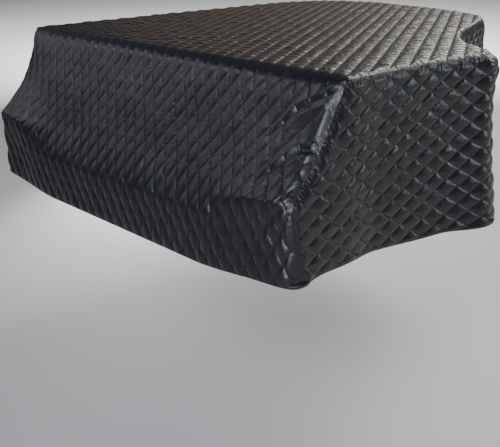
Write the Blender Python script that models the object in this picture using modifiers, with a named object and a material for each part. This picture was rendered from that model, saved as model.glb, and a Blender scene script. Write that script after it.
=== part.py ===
"""Fitted quilted cover for a baby grand piano, in the shape it takes on the closed instrument.

Four cut pieces of quilted satin are sewn edge to edge, and a narrow tape is folded over the hem.
X runs along the keyboard (treble at +X), Y runs from the keyboard to the tail, and Z points up.
The origin is in the middle of the top's underside, where the piano's lid carries the cover.
Tables give "back", the distance behind the front of the keyboard, and "drop", the distance
below the top's outer face.
"""

import math

import bmesh
import bpy
from mathutils import Vector

OBJECT_NAME = "grand_piano_cover"

# Cloth and tape.
CLOTH_THICKNESS = 0.003
TAPE_THICKNESS = 0.001
TAPE_LEAF = 0.009
TAPE_CLEARANCE = 0.0010

# How far behind the keyboard's front the origin lies.
ORIGIN_BACK = 0.815

# The cut pieces, and how far each edge is drawn back from its seam.
PIECES = ("top_front_panel", "treble_panel", "tail_panel", "bass_panel")
SEAM_PULL = 0.0006

# How the cloth rounds the lid's edge: the drop at the seam, and one row in from it.
EDGE_DROPS = (0.0065, 0.0013)

# Where the side bands stand out under the lid's edge, as a share of the way to the hem.
SHOULDER_SHARE = 0.07

# Columns across the top and front, as shares of the half width from a side seam to the middle.
HALF_COLUMNS = (0.0, 0.024, 0.07, 0.14, 0.22, 0.32, 0.44, 0.58, 0.72, 0.86)

# Rows down a side band, as shares of the way from its upper seam to the hem.
BAND_ROWS = (0.0, 0.035, 0.10, 0.24, 0.42, 0.62, 0.82, 1.0)

# Treble edge of the lid, from the corner of the tail to the front corner.
# shoulder: how far the band stands out just below the lid; flare: how far at the hem.
TREBLE_EDGE = (
    # x, back, shoulder, flare, hem drop
    (0.268, 1.432, 0.008, 0.022, 0.498),
    (0.290, 1.400, 0.006, 0.020, 0.500),
    (0.330, 1.310, 0.004, 0.012, 0.497),
    (0.386, 1.185, 0.004, 0.010, 0.493),
    (0.447, 1.060, 0.004, 0.012, 0.495),
    (0.520, 0.952, 0.005, 0.014, 0.498),
    (0.602, 0.866, 0.006, 0.018, 0.495),
    (0.690, 0.806, 0.010, 0.026, 0.490),
    (0.742, 0.776, 0.020, 0.038, 0.488),
    (0.768, 0.738, 0.018, 0.040, 0.489),
    (0.762, 0.680, 0.008, 0.026, 0.490),
    (0.752, 0.590, 0.004, 0.008, 0.484),
    (0.744, 0.470, 0.004, -0.006, 0.485),
    (0.744, 0.340, 0.004, -0.012, 0.480),
    (0.751, 0.225, 0.004, -0.010, 0.479),
    (0.751, 0.186, 0.004, -0.009, 0.480),
)

# Tail of the lid, from the treble corner to the bass corner.
TAIL_EDGE = (
    (0.268, 1.432, 0.008, 0.022, 0.498),
    (0.212, 1.488, 0.008, 0.020, 0.496),
    (0.110, 1.538, 0.005, 0.012, 0.493),
    (-0.060, 1.586, 0.004, 0.008, 0.497),
    (-0.230, 1.615, 0.004, 0.010, 0.501),
    (-0.390, 1.628, 0.005, 0.014, 0.499),
    (-0.520, 1.610, 0.007, 0.018, 0.495),
    (-0.625, 1.560, 0.009, 0.022, 0.498),
    (-0.700, 1.478, 0.008, 0.020, 0.502),
    (-0.737, 1.390, 0.006, 0.014, 0.500),
)

# Bass edge of the lid, from the corner of the tail to the front corner.
BASS_EDGE = (
    (-0.737, 1.390, 0.006, 0.014, 0.500),
    (-0.745, 1.200, 0.004, 0.006, 0.497),
    (-0.750, 0.950, 0.004, 0.004, 0.501),
    (-0.750, 0.700, 0.004, 0.008, 0.498),
    (-0.748, 0.450, 0.004, 0.002, 0.502),
    (-0.750, 0.186, 0.004, -0.004, 0.504),
)

# The front, level by level from the lid's edge to the hem. The first nine levels slope out
# to the arms at the ends of the keyboard, and the others hang below them.
FRONT_LEVELS = (
    # treble x, treble back, bass x, bass back, corner drop, middle back, middle drop
    (0.751, 0.186, -0.750, 0.186, 0.0065, 0.188, 0.0040),
    (0.751, 0.171, -0.750, 0.170, 0.0270, 0.172, 0.0220),
    (0.750, 0.160, -0.750, 0.161, 0.0640, 0.159, 0.0620),
    (0.750, 0.139, -0.750, 0.144, 0.1070, 0.137, 0.1090),
    (0.750, 0.116, -0.750, 0.124, 0.1460, 0.116, 0.1530),
    (0.750, 0.091, -0.750, 0.101, 0.1830, 0.094, 0.1960),
    (0.750, 0.066, -0.750, 0.074, 0.2170, 0.070, 0.2400),
    (0.750, 0.041, -0.750, 0.044, 0.2470, 0.047, 0.2810),
    (0.750, 0.019, -0.750, 0.022, 0.2760, 0.028, 0.3150),
    (0.750, 0.015, -0.750, 0.018, 0.2840, 0.021, 0.3290),
    (0.750, 0.013, -0.750, 0.017, 0.2990, 0.012, 0.3460),
    (0.750, 0.014, -0.750, 0.017, 0.3300, 0.003, 0.3680),
    (0.750, 0.020, -0.750, 0.017, 0.3720, 0.000, 0.4020),
    (0.750, 0.030, -0.749, 0.017, 0.4180, 0.000, 0.4400),
    (0.750, 0.041, -0.747, 0.019, 0.4620, 0.000, 0.4780),
    (0.750, 0.053, -0.742, 0.025, 0.4990, 0.001, 0.5160),
)
ARM_LEVEL = 8

# The arms hold the cloth up near the corners; towards the middle it falls onto the key slip.
ARM_REACH = (0.38, 0.70)

# Beside each corner seam the slope swells forward, most between these drops.
CORNER_SWELL = 0.012
SWELL_RISE = 0.035
SWELL_END = 0.20
SWELL_DROPS = (0.0, 0.10, 0.28, 0.42)

# Below the arms the front hangs straight and turns back only beside the corner seams.
ARM_BACK = 0.013
ARM_DROP = 0.276
CORNER_TURN = 0.030

# Folds pulled from the treble front corner across the front.
TENSION_FOLDS = (
    # from x, from drop, to x, to drop, half width, depth
    (0.745, 0.030, 0.540, 0.185, 0.022, 0.006),
    (0.735, 0.155, 0.575, 0.300, 0.022, 0.007),
    (0.715, 0.285, 0.630, 0.430, 0.020, 0.007),
    (-0.745, 0.060, -0.640, 0.200, 0.022, 0.004),
)

# Soft folds of the side bands. "along" is measured on the lid's edge from the treble front
# corner, round the tail to the bass front corner.
HANGING_FOLDS = (
    # along, half width, how far it stands out at the hem
    (0.13, 0.060, -0.005),
    (0.33, 0.070, 0.004),
    (0.62, 0.040, 0.010),
    (0.80, 0.055, -0.009),
    (0.98, 0.060, 0.008),
    (1.16, 0.055, -0.007),
    (1.40, 0.055, 0.009),
    (1.66, 0.060, -0.006),
    (1.88, 0.060, 0.007),
    (2.10, 0.060, -0.006),
    (2.34, 0.055, 0.008),
    (2.62, 0.070, -0.006),
    (2.92, 0.070, 0.006),
    (3.22, 0.070, -0.005),
    (3.50, 0.060, 0.004),
)

MATERIAL_LOOKS = {
    # piece: colour, roughness
    "top_front_panel": ((0.030, 0.031, 0.036), 0.38),
    "treble_panel": ((0.024, 0.025, 0.029), 0.42),
    "tail_panel": ((0.024, 0.025, 0.029), 0.42),
    "bass_panel": ((0.024, 0.025, 0.029), 0.42),
    "hem_binding": ((0.016, 0.016, 0.018), 0.35),
}


def clear_scene():
    """Start from an empty scene."""
    for thing in list(bpy.data.objects):
        bpy.data.objects.remove(thing)


def place(x, back, drop):
    """A point of the cover's outer face in the part's own frame."""
    return Vector((x, back - ORIGIN_BACK, CLOTH_THICKNESS - drop))


def ease(value, low, high):
    """0 below low, 1 above high, and smooth between them."""
    share = min(1.0, max(0.0, (value - low) / (high - low)))
    return share * share * (3.0 - 2.0 * share)


def between(first, second, share):
    """The row that lies a share of the way from one row to another."""
    return tuple(a + (b - a) * share for a, b in zip(first, second))


def curve_through(rows, place_in_rows):
    """A smooth curve through the rows of a table, at a place counted in rows."""
    last = len(rows) - 1
    start = min(int(place_in_rows), last - 1)
    t = place_in_rows - start
    before = rows[max(start - 1, 0)]
    after = rows[min(start + 2, last)]
    result = []
    for a, b, c, d in zip(before, rows[start], rows[start + 1], after):
        bend = 2.0 * a - 5.0 * b + 4.0 * c - d
        twist = -a + 3.0 * b - 3.0 * c + d
        result.append(b + 0.5 * t * ((c - a) + t * (bend + t * twist)))
    return tuple(result)


def refined(rows, steps):
    """The rows of a table with others between them, on a smooth curve."""
    return [curve_through(rows, i / steps) for i in range(steps * (len(rows) - 1) + 1)]


def lengths_along(rows):
    """The distance of each row from the first, measured along the line in plan."""
    total = [0.0]
    for first, second in zip(rows, rows[1:]):
        total.append(total[-1] + math.dist(first[:2], second[:2]))
    return total


def at_shares(rows, shares):
    """Rows at the given shares of a table's length, on a smooth curve."""
    fine = refined(rows, 8)
    along = lengths_along(fine)
    picked = []
    for share in shares:
        target = share * along[-1]
        index = max(i for i in range(len(fine) - 1) if along[i] <= target + 1e-9)
        step = (target - along[index]) / (along[index + 1] - along[index])
        picked.append(between(fine[index], fine[index + 1], min(step, 1.0)))
    return picked


def column_shares():
    """Shares of the way from the bass seam to the treble seam."""
    left = [0.5 * share for share in HALF_COLUMNS]
    return left + [0.5] + [1.0 - share for share in reversed(left)]


def lid_edges():
    """The lid's edge as rows: treble and bass sides from tail to front, tail from bass to treble."""
    treble = refined(TREBLE_EDGE, 2)
    reach = treble[0][1] - treble[-1][1]
    bass = at_shares(BASS_EDGE, [(treble[0][1] - row[1]) / reach for row in treble])
    tail = at_shares(TAIL_EDGE, [1.0 - share for share in column_shares()])
    return treble, tail, bass


def tension(x, drop):
    """How deep the pulled folds press the front in at a point."""
    depth = 0.0
    here = Vector((x, drop))
    for from_x, from_drop, to_x, to_drop, half_width, deep in TENSION_FOLDS:
        start = Vector((from_x, from_drop))
        run = Vector((to_x, to_drop)) - start
        share = (here - start).dot(run) / run.length_squared
        aside = (here - start - run * share).length / half_width
        fade = ease(share, -0.15, 0.12) * (1.0 - ease(share, 0.75, 1.15))
        depth += deep * fade * math.exp(-aside * aside)
    return depth


def front_point(level, share):
    """A point of the front, on one level and a share of the way from bass to treble."""
    treble_x, treble_back, bass_x, bass_back, corner_drop, middle_back, middle_drop = level
    x = bass_x + (treble_x - bass_x) * share
    side_back = treble_back if share > 0.5 else bass_back
    arm_back = side_back if corner_drop < ARM_DROP else min(side_back, ARM_BACK)
    arm = ease(abs(x), *ARM_REACH)
    from_seam = (0.5 - abs(share - 0.5)) * (treble_x - bass_x)
    turn = (side_back - arm_back) * math.exp(-from_seam / CORNER_TURN)
    swell = CORNER_SWELL * (1.0 - math.exp(-from_seam / SWELL_RISE))
    swell *= 1.0 - ease(from_seam, SWELL_RISE, SWELL_END)
    swell *= ease(corner_drop, *SWELL_DROPS[:2]) * (1.0 - ease(corner_drop, *SWELL_DROPS[2:]))
    back = middle_back + (arm_back - middle_back) * arm + turn - swell
    drop = middle_drop + (corner_drop - middle_drop) * arm
    dent = tension(x, drop)
    return place(x, back + 0.85 * dent, drop + 0.5 * dent)


def sheet_rows(treble, tail, bass):
    """Points of the top and front, row by row from the tail's seam to the front hem."""
    shares = column_shares()
    last = len(shares) - 1
    rows = []
    for j in range(len(treble) - 1):
        tail_pull = ((treble[j][1] - treble[-1][1]) / (treble[0][1] - treble[-1][1])) ** 3
        row = []
        for i, share in enumerate(shares):
            x, back = between(bass[j][:2], treble[j][:2], share)
            chord = between(tail[0], tail[-1], share)
            x += (tail[i][0] - chord[0]) * tail_pull
            back += (tail[i][1] - chord[1]) * tail_pull
            ring = min(j, i, last - i)
            drop = EDGE_DROPS[ring] if ring < len(EDGE_DROPS) else 0.0
            if j == len(treble) - 2:
                drop = max(drop, EDGE_DROPS[1])
            row.append(place(x, back, drop))
        rows.append(row)
    for level in FRONT_LEVELS:
        rows.append([front_point(level, share) for share in shares])
    return rows


def fold_at(along):
    """How far the soft folds push the hem out at a place along the lid's edge."""
    push = 0.0
    for centre, half_width, stand in HANGING_FOLDS:
        push += stand * math.exp(-(((along - centre) / half_width) ** 2))
    return push


def outward(rows, index):
    """The plan direction that points away from the lid, for rows that run anticlockwise."""
    first = Vector(rows[max(index - 1, 0)][:2])
    second = Vector(rows[min(index + 1, len(rows) - 1)][:2])
    run = (second - first).normalized()
    return Vector((run.y, -run.x))


def band_column(top, out, shoulder, flare, lean, hem_drop, fold):
    """Points of a side band under one point of its upper seam, from below the seam to the hem."""
    points = []
    for share in BAND_ROWS[1:]:
        near_lid = shoulder * (share / SHOULDER_SHARE) * math.exp(1.0 - share / SHOULDER_SHARE)
        push = near_lid + flare * share**1.2 + fold * share**1.5
        back = ORIGIN_BACK + top.y + push * out.y + lean * share**2
        drop = CLOTH_THICKNESS - top.z
        points.append(place(top.x + push * out.x, back, drop + (hem_drop - drop) * share))
    return points


def lid_columns(rows, turn, along_start, along_step):
    """Columns of a side band under the lid's edge."""
    along = lengths_along(rows)
    columns = []
    for index, (x, back, shoulder, flare, hem) in enumerate(rows):
        top = place(x, back, EDGE_DROPS[0])
        out = outward(rows, index) * turn
        fold = fold_at(along_start + along_step * along[index])
        columns.append(band_column(top, out, shoulder, flare, 0.0, hem, fold))
    return columns


def cheek_columns(seam, lid_row, out):
    """Columns of a side band in front of the lid, under the slanting seam down to the arm."""
    shoulder, flare, hem = lid_row[2:]
    corner_hem = CLOTH_THICKNESS - seam[-1].z
    corner_lean = seam[-1].y - seam[ARM_LEVEL].y
    columns = []
    for level in range(1, ARM_LEVEL):
        share = level / ARM_LEVEL
        hem_drop = hem + (corner_hem - hem) * share**3
        lean = corner_lean * share**2
        columns.append(band_column(seam[level], out, shoulder, flare, lean, hem_drop, 0.0))
    return columns


class Cover:
    """The outer face of the whole cover as one open sheet, with each face's piece."""

    def __init__(self):
        self.sheet = bmesh.new()
        self.pieces = {name: [] for name in PIECES}

    def points(self, places):
        return [self.sheet.verts.new(point) for point in places]

    def skin(self, name, lines):
        """Faces between lines of points, which become one cut piece."""
        for first, second in zip(lines, lines[1:]):
            for a, b, c, d in zip(first, first[1:], second[1:], second):
                self.pieces[name].append(self.sheet.faces.new((a, d, c, b)))


def sewn_cover():
    """Build the cover's outer face and return it with the hem's points in order."""
    treble, tail, bass = lid_edges()
    cover = Cover()
    rows = [cover.points(row) for row in sheet_rows(treble, tail, bass)]
    cover.skin("top_front_panel", rows)
    lid_rows = len(treble) - 1
    treble_length = lengths_along(treble)[-1]
    tail_length = lengths_along(tail)[-1]

    def side(name, lid, turn, along_start, along_step, end):
        lid_part = lid_columns(lid, -turn, along_start, along_step)
        seam = [row[end].co for row in rows[lid_rows:]]
        out = Vector((turn * 1.0, 0.0))
        cheek = cheek_columns(seam, lid[-1], out)
        below = [cover.points(column) for column in lid_part + cheek]
        tops = [row[end] for row in rows[: lid_rows + ARM_LEVEL]]
        columns = [[top] + column for top, column in zip(tops, below)]
        columns.append([row[end] for row in rows[lid_rows + ARM_LEVEL :]])
        cover.skin(name, columns if turn > 0 else columns[::-1])
        return columns

    treble_columns = side("treble_panel", treble, 1, treble_length, -1, -1)
    bass_columns = side("bass_panel", bass, -1, treble_length + tail_length, 1, 0)
    tail_parts = lid_columns(tail, -1, treble_length + tail_length, -1)[1:-1]
    tail_columns = [bass_columns[0]]
    for top, column in zip(rows[0][1:-1], tail_parts):
        tail_columns.append([top] + cover.points(column))
    tail_columns.append(treble_columns[0])
    cover.skin("tail_panel", tail_columns)

    hem = list(rows[-1])
    hem += [column[-1] for column in reversed(treble_columns[:-1])]
    hem += [column[-1] for column in reversed(tail_columns[:-1])]
    hem += [column[-1] for column in bass_columns[1:-1]]
    cover.sheet.normal_update()
    if rows[1][1].normal.z < 0.0:
        bmesh.ops.reverse_faces(cover.sheet, faces=cover.sheet.faces)
    cover.sheet.normal_update()
    return cover, hem


def pulled_in(vert, faces):
    """Where a point of a piece goes so that its seam stays clear of the next piece."""
    if all(face in faces for face in vert.link_faces):
        return vert.co.copy()
    inner, along_seam = Vector(), Vector()
    for edge in vert.link_edges:
        own = sum(face in faces for face in edge.link_faces)
        run = (edge.other_vert(vert).co - vert.co).normalized()
        if own == 2:
            inner += run
        elif own == 1:
            along_seam += run
    direction = inner if inner.length > 0.0 else along_seam
    return vert.co + direction.normalized() * 0.5 * SEAM_PULL


def cut_piece(name, cover, collection):
    """One cut piece of cloth: its share of the cover's face, extruded inwards."""
    faces = set(cover.pieces[name])
    piece = bmesh.new()
    through = piece.verts.layers.float_vector.new("through")
    copies = {}
    for face in cover.pieces[name]:
        for vert in face.verts:
            if vert not in copies:
                copies[vert] = piece.verts.new(pulled_in(vert, faces))
                copies[vert][through] = vert.normal * -CLOTH_THICKNESS
        piece.faces.new([copies[vert] for vert in face.verts])
    grown = bmesh.ops.extrude_face_region(piece, geom=piece.faces[:], use_keep_orig=True)
    for item in grown["geom"]:
        if isinstance(item, bmesh.types.BMVert):
            item.co += item[through]
    bmesh.ops.recalc_face_normals(piece, faces=piece.faces)
    # Facing edges of two pieces are divided alike, so that twisted ones stay clear too.
    bmesh.ops.triangulate(piece, faces=piece.faces, quad_method="SHORT_EDGE")
    return finished(name, piece, collection)


def hem_tape(name, hem, collection):
    """The tape folded over the hem, as an open strip with a wall built outwards."""
    strip = bmesh.new()
    loops = []
    for vert in hem:
        up = max(
            ((edge.other_vert(vert).co - vert.co) for edge in vert.link_edges),
            key=lambda run: run.normalized().z,
        ).normalized()
        out = vert.normal * TAPE_CLEARANCE
        inward = vert.normal * -(CLOTH_THICKNESS + TAPE_CLEARANCE)
        below = up * -TAPE_CLEARANCE
        leaf = up * TAPE_LEAF
        section = (out + leaf, out + below, inward + below, inward + leaf)
        loops.append([strip.verts.new(vert.co + offset) for offset in section])
    for first, second in zip(loops, loops[1:] + loops[:1]):
        for a, b, c, d in zip(first, first[1:], second[1:], second):
            strip.faces.new((a, b, c, d))
    tape = finished(name, strip, collection)
    wall = tape.modifiers.new("Wall", "SOLIDIFY")
    wall.thickness = TAPE_THICKNESS
    wall.offset = 1.0
    wall.use_even_offset = True
    return tape


def finished(name, piece, collection):
    """Make an object of a piece's mesh, with its material."""
    mesh = bpy.data.meshes.new(name)
    piece.to_mesh(mesh)
    piece.free()
    mesh.shade_smooth()
    thing = bpy.data.objects.new(name, mesh)
    collection.objects.link(thing)
    colour, roughness = MATERIAL_LOOKS[name]
    material = bpy.data.materials.new(name + "_cloth")
    material.use_nodes = True
    shader = material.node_tree.nodes["Principled BSDF"]
    shader.inputs["Base Color"].default_value = (*colour, 1.0)
    shader.inputs["Roughness"].default_value = roughness
    shader.inputs["Metallic"].default_value = 0.0
    mesh.materials.append(material)
    return thing


def main():
    clear_scene()
    collection = bpy.data.collections.new(OBJECT_NAME)
    bpy.context.scene.collection.children.link(collection)
    cover, hem = sewn_cover()
    for name in PIECES:
        cut_piece(name, cover, collection)
    hem_tape("hem_binding", hem, collection)
    cover.sheet.free()


main()
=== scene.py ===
"""Fitted quilted satin cover of a baby grand piano, dressed over its plain CAD solids.

X runs along the keyboard (treble at +X), Y from the keyboard to the tail, Z up, in metres.
"""

import math
from collections import namedtuple

import bmesh
import bpy
import numpy as np
from mathutils import Matrix, Vector, kdtree


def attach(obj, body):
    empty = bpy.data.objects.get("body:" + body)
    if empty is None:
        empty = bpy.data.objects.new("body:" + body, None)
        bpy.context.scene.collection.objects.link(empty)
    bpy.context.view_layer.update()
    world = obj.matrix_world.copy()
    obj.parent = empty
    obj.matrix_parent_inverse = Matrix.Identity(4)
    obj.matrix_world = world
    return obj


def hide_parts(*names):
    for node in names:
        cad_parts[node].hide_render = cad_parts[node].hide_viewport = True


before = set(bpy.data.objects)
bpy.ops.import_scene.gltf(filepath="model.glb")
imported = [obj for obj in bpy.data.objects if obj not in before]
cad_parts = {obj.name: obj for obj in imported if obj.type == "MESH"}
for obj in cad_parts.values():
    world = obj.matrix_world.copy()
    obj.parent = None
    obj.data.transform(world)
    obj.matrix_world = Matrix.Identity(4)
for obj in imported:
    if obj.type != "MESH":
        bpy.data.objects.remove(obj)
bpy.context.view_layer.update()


# Top and front of the cover: one long cut of black satin, quilted in diamonds through thin
# wadding to a plain backing. It lies flat on the lid, turns over the lid's front edge and
# slopes down to the arms beside the keyboard, then hangs to the hem.

# Places are given as x, back (behind the foremost part of the front) and drop (below the lid).
ORIGIN_BACK = 0.815
CLOTH_THICKNESS = 0.003

# Treble edge of the lid, from the corner of the tail to the front corner. The side band below
# stands out by its shoulder just under the edge, and by its flare at the hem.
TREBLE_EDGE = (
    # x, back, shoulder, flare, hem drop
    (0.268, 1.432, 0.008, 0.022, 0.498),
    (0.290, 1.400, 0.006, 0.020, 0.500),
    (0.330, 1.310, 0.004, 0.012, 0.497),
    (0.386, 1.185, 0.004, 0.010, 0.493),
    (0.447, 1.060, 0.004, 0.012, 0.495),
    (0.520, 0.952, 0.005, 0.014, 0.498),
    (0.602, 0.866, 0.006, 0.018, 0.495),
    (0.690, 0.806, 0.010, 0.026, 0.490),
    (0.742, 0.776, 0.020, 0.038, 0.488),
    (0.768, 0.738, 0.018, 0.040, 0.489),
    (0.762, 0.680, 0.008, 0.026, 0.490),
    (0.752, 0.590, 0.004, 0.008, 0.484),
    (0.744, 0.470, 0.004, -0.006, 0.485),
    (0.744, 0.340, 0.004, -0.012, 0.480),
    (0.751, 0.225, 0.004, -0.010, 0.479),
    (0.751, 0.186, 0.004, -0.009, 0.480),
)

# Tail of the lid, from the treble corner to the bass corner.
TAIL_EDGE = (
    (0.268, 1.432, 0.008, 0.022, 0.498),
    (0.212, 1.488, 0.008, 0.020, 0.496),
    (0.110, 1.538, 0.005, 0.012, 0.493),
    (-0.060, 1.586, 0.004, 0.008, 0.497),
    (-0.230, 1.615, 0.004, 0.010, 0.501),
    (-0.390, 1.628, 0.005, 0.014, 0.499),
    (-0.520, 1.610, 0.007, 0.018, 0.495),
    (-0.625, 1.560, 0.009, 0.022, 0.498),
    (-0.700, 1.478, 0.008, 0.020, 0.502),
    (-0.737, 1.390, 0.006, 0.014, 0.500),
)

# Bass edge of the lid, from the corner of the tail to the front corner.
BASS_EDGE = (
    (-0.737, 1.390, 0.006, 0.014, 0.500),
    (-0.745, 1.200, 0.004, 0.006, 0.497),
    (-0.750, 0.950, 0.004, 0.004, 0.501),
    (-0.750, 0.700, 0.004, 0.008, 0.498),
    (-0.748, 0.450, 0.004, 0.002, 0.502),
    (-0.750, 0.186, 0.004, -0.004, 0.504),
)

# The front, level by level from the lid's edge to the hem.
FRONT_LEVELS = (
    # treble back, bass back, corner drop, middle back, middle drop
    (0.194, 0.194, 0.0035, 0.197, 0.0027),
    (0.183, 0.183, 0.0105, 0.184, 0.0098),
    (0.173, 0.173, 0.0220, 0.172, 0.0205),
    (0.167, 0.167, 0.0370, 0.163, 0.0350),
    (0.159, 0.160, 0.0640, 0.150, 0.0620),
    (0.138, 0.143, 0.1070, 0.128, 0.1090),
    (0.115, 0.123, 0.1460, 0.107, 0.1530),
    (0.091, 0.101, 0.1830, 0.087, 0.1960),
    (0.066, 0.074, 0.2170, 0.066, 0.2400),
    (0.041, 0.044, 0.2470, 0.046, 0.2810),
    (0.019, 0.022, 0.2760, 0.028, 0.3150),
    (0.015, 0.018, 0.2840, 0.021, 0.3290),
    (0.013, 0.017, 0.2990, 0.012, 0.3460),
    (0.014, 0.017, 0.3300, 0.003, 0.3680),
    (0.020, 0.017, 0.3720, 0.000, 0.4020),
    (0.030, 0.017, 0.4180, 0.000, 0.4400),
    (0.041, 0.019, 0.4620, 0.000, 0.4780),
    (0.053, 0.025, 0.4990, 0.001, 0.5160),
)
SEAM_X = 0.750
LID_FRONT = 0.186

# Where the turn to the front begins, with the flat cloth behind the first level, and the size
# of the fine table that the front is worked out in.
PROFILE_START = 0.340
PROFILE_FLATS = ((PROFILE_START, 0.0), (0.29, 0.0), (0.24, 0.0), (0.205, 0.0))
PROFILE_LENGTH = 0.80
PROFILE_ROWS = 401
PROFILE_COLUMNS = 641

# The cloth beside the corners: where it lies on the arms, its small turn at the corner seam,
# and the swell of loose cloth next to that.
ARM_REACH = (0.38, 0.70)
ARM_BACK = 0.013
ARM_DROP = 0.276
CORNER_TURN = 0.030
CORNER_SWELL = 0.020
SWELL_RISE = 0.070
SWELL_END = 0.42
SWELL_DROPS = (0.0, 0.08, 0.26, 0.40)

# Diamonds of the quilting: across the short way and along the long way of the cloth.
DIAMOND_SHORT = 0.0505
DIAMOND_LONG = 0.0785

# How the big cut is pulled askew on the instrument: its threads against its place.
SHEET_PULL = (
    # back, sideways, lengthways
    (-0.36, -0.003, -0.004),
    (-0.24, -0.004, -0.004),
    (-0.12, -0.004, -0.030),
    (0.03, -0.017, -0.030),
    (0.12, -0.019, -0.030),
    (0.21, -0.0256, -0.047),
    (1.63, -0.0256, -0.0115),
)
SHEET_LEAN = -0.010

# The round of the cloth over an edge: at the lid, along the slanting corner seams, and the
# length of cloth from the one to the other.
LID_ROUND = 0.0065
CORNER_ROUND = 0.030
ROUND_CHANGE = 0.07


def smoothed(rows, steps):
    """More rows of a table, on a smooth curve through the given ones."""
    rows = np.array(rows, float)
    padded = np.vstack([rows[:1], rows, rows[-1:]])
    result = []
    for before, start, end, after in zip(padded, padded[1:], padded[2:], padded[3:]):
        for t in np.arange(steps) / steps:
            bend = 2.0 * before - 5.0 * start + 4.0 * end - after
            twist = -before + 3.0 * start - 3.0 * end + after
            result.append(start + 0.5 * t * ((end - before) + t * (bend + t * twist)))
    result.append(rows[-1])
    return np.array(result)


def ease(value, low, high):
    """0 below low, 1 above high, and smooth between them."""
    share = np.clip((value - low) / (high - low), 0.0, 1.0)
    return share * share * (3.0 - 2.0 * share)


def run_lengths(points):
    """Distance of each point from the first, along the line."""
    steps = np.linalg.norm(np.diff(points, axis=0), axis=1)
    return np.concatenate([[0.0], np.cumsum(steps)])


def read_rows(at, runs, rows):
    """Read a table with a row for each of the runs, at places between them."""
    return np.stack([np.interp(at, runs, column) for column in rows.T], axis=1)


def in_space(x, back, drop):
    """Points in space for places on the cover."""
    return np.stack([x, back - ORIGIN_BACK, CLOTH_THICKNESS - drop], axis=1)


treble_line = smoothed(TREBLE_EDGE, steps=24)
tail_line = smoothed(TAIL_EDGE, steps=24)
bass_line = smoothed(BASS_EDGE, steps=40)


def front_profiles(x):
    """Back and drop of the cloth down the front, a row for each x and a column for each level."""
    levels = np.array(FRONT_LEVELS)
    side_back = np.where(x[:, None] > 0.0, levels[:, 0], levels[:, 1])
    corner_drop, middle_back, middle_drop = levels[:, 2], levels[:, 3], levels[:, 4]
    held_back = np.where(corner_drop < ARM_DROP, side_back, np.minimum(side_back, ARM_BACK))
    arm = ease(np.abs(x), *ARM_REACH)[:, None]
    from_seam = (SEAM_X - np.abs(x))[:, None]
    turn = (side_back - held_back) * np.exp(-from_seam / CORNER_TURN)
    swell = CORNER_SWELL * (1.0 - np.exp(-from_seam / SWELL_RISE))
    swell = swell * (1.0 - ease(from_seam, SWELL_RISE, SWELL_END))
    swell = swell * ease(corner_drop, *SWELL_DROPS[:2])
    swell = swell * (1.0 - ease(corner_drop, *SWELL_DROPS[2:]))
    back = middle_back + (held_back - middle_back) * arm + turn - swell
    drop = middle_drop + (corner_drop - middle_drop) * arm
    return back, drop


# The front's shape as a fine table, by x and by the length of cloth from the start of the turn.
profile_x = np.linspace(-SEAM_X, SEAM_X, PROFILE_ROWS)
level_back, level_drop = front_profiles(profile_x)
cloth_runs = np.linspace(0.0, PROFILE_LENGTH, PROFILE_COLUMNS)
profile_back = np.zeros((len(profile_x), len(cloth_runs)))
profile_drop = np.zeros_like(profile_back)
hem_runs = np.zeros(len(profile_x))
for i in range(len(profile_x)):
    curve = smoothed([*PROFILE_FLATS, *zip(level_back[i], level_drop[i])], steps=12)
    runs = run_lengths(curve)
    profile_back[i] = np.interp(cloth_runs, runs, curve[:, 0])
    profile_drop[i] = np.interp(cloth_runs, runs, curve[:, 1])
    hem_runs[i] = runs[-1]


def from_profiles(table, x, runs):
    """Read the fine table between its rows and columns."""
    across = np.clip((x + SEAM_X) / (2.0 * SEAM_X), 0.0, 1.0) * (len(profile_x) - 1)
    down = np.clip(runs / cloth_runs[-1], 0.0, 1.0) * (len(cloth_runs) - 1)
    i = np.minimum(across.astype(int), len(profile_x) - 2)
    j = np.minimum(down.astype(int), len(cloth_runs) - 2)
    a, b = across - i, down - j
    upper = table[i, j] * (1 - b) + table[i, j + 1] * b
    lower = table[i + 1, j] * (1 - b) + table[i + 1, j + 1] * b
    return upper * (1 - a) + lower * a


def sheet_place(x, back):
    """Where a point of the big cut lies when the cover is on the instrument."""
    runs = PROFILE_START - back
    on_front = runs > 0.0
    y = np.where(on_front, from_profiles(profile_back, x, runs), back)
    drop = np.where(on_front, from_profiles(profile_drop, x, runs), 0.0)
    return in_space(x, y, drop)


def seam_turn(back):
    """How far the big cut wraps over its edge, from a quarter turn on the lid to an eighth."""
    slanting = ease(LID_FRONT - back, 0.0, ROUND_CHANGE)
    angle = math.pi / 2 * (1.0 - 0.5 * slanting)
    radius = LID_ROUND + (CORNER_ROUND - LID_ROUND) * slanting
    return angle, radius


def front_hem(x):
    """Cloth coordinate of the front hem."""
    return PROFILE_START - np.interp(x, profile_x, hem_runs)


def side_x(back, line, side):
    """Cut edge of the big sheet on one side of the cover."""
    on_lid = np.interp(back, line[::-1, 1], line[::-1, 0])
    angle, radius = seam_turn(back)
    on_front = side * (SEAM_X - radius * (1.0 - np.sin(angle)))
    return np.where(back < LID_FRONT, on_front, on_lid)


def inside_sheet(x, back):
    """Whether a point of the flat cloth belongs to the big cut."""
    tail_back = np.interp(x, tail_line[::-1, 0], tail_line[::-1, 1])
    treble = side_x(back, treble_line, 1)
    bass = side_x(back, bass_line, -1)
    return (x < treble) & (x > bass) & (back > front_hem(x)) & (back < tail_back + 1e-6)


CHEEK_POINTS = 400
FRONT_HEM_POINTS = 1200


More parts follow.
